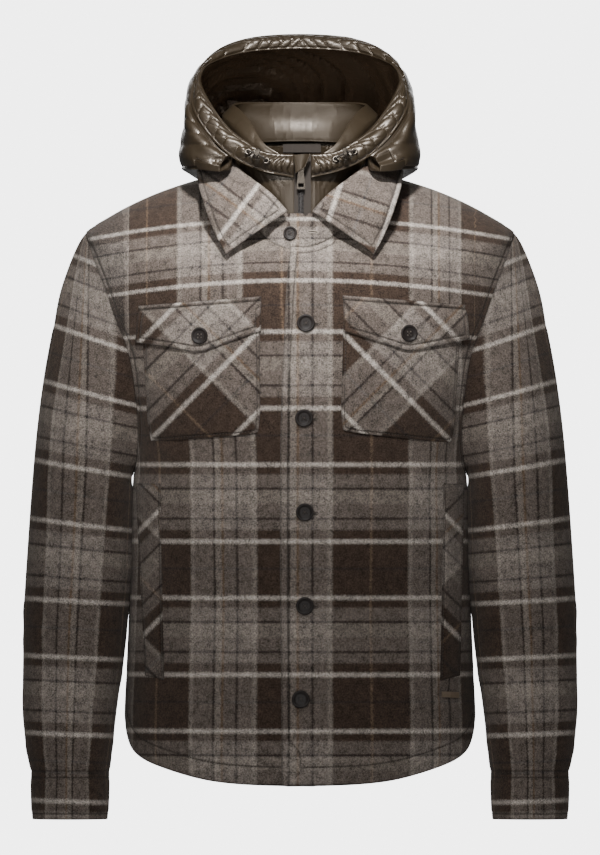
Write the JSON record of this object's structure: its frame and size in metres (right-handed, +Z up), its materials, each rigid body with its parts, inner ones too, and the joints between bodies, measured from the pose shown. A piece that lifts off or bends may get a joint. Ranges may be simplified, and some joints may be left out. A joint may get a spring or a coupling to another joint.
{
  "type": "overshirt",
  "caption": "Wool plaid overshirt in worn shape, open collar, buttoned front and flap pockets, with a zipped padded hooded bib inside the neck",
  "frame": {"origin": "inside the neck, level with the seam that joins the hood to the bib in front", "axes": "+X to the wearer's left, +Y to the back, +Z up; the front faces -Y"},
  "size_m": [0.6204, 0.3189, 0.877],
  "materials": {
    "wool": "brushed plaid wool flannel",
    "nylon": "glossy padded nylon",
    "horn": "satin dark brown",
    "metal": "dark bronze",
    "tape": "woven tape",
    "cord": "braided"
  },
  "bodies": {
    "garment": {"front_right": "wool", "front_left": "wool", "back": "wool", "sleeve_right": "wool", "sleeve_left": "wool", "cuff_right": "wool", "cuff_left": "wool", "collar_stand": "wool", "collar_leaf": "wool", "pocket_bag_right": "wool", "pocket_bag_left": "wool", "pocket_flap_right": "wool", "pocket_flap_left": "wool", "flap_ridge_right": "wool", "flap_ridge_left": "wool", "welt_right": "wool", "welt_left": "wool", "hood_panel": "nylon", "hood_rim": "nylon", "bib_collar": "nylon", "bib_front_left": "nylon", "bib_front_right": "nylon", "bib_back": "nylon", "zip_guard": "nylon", "button_front_1": "horn", "button_front_2": "horn", "button_front_3": "horn", "button_front_4": "horn", "button_front_5": "horn", "button_collar": "horn", "button_flap_right": "horn", "button_flap_left": "horn", "button_cuff_right": "horn", "button_cuff_left": "horn", "zip_coil": "horn", "zip_slider": "metal", "hem_plate": "metal", "eyelet_right_1": "metal", "eyelet_right_2": "metal", "eyelet_left_1": "metal", "eyelet_left_2": "metal", "cord_lock_right": "metal", "cord_lock_left": "metal", "zip_tape": "tape", "neck_tape": "tape", "drawcord_right": "cord", "drawcord_left": "cord"},
    "pull": {"zip_pull": "metal"}
  },
  "joints": [
    {"name": "zip_pull_hinge", "type": "hinge", "parent": "garment", "child": "pull", "pos_m": [0.001, -0.0942, 0.0084], "axis": [-1, 0, 0], "range_deg": [0, 50]}
  ]
}
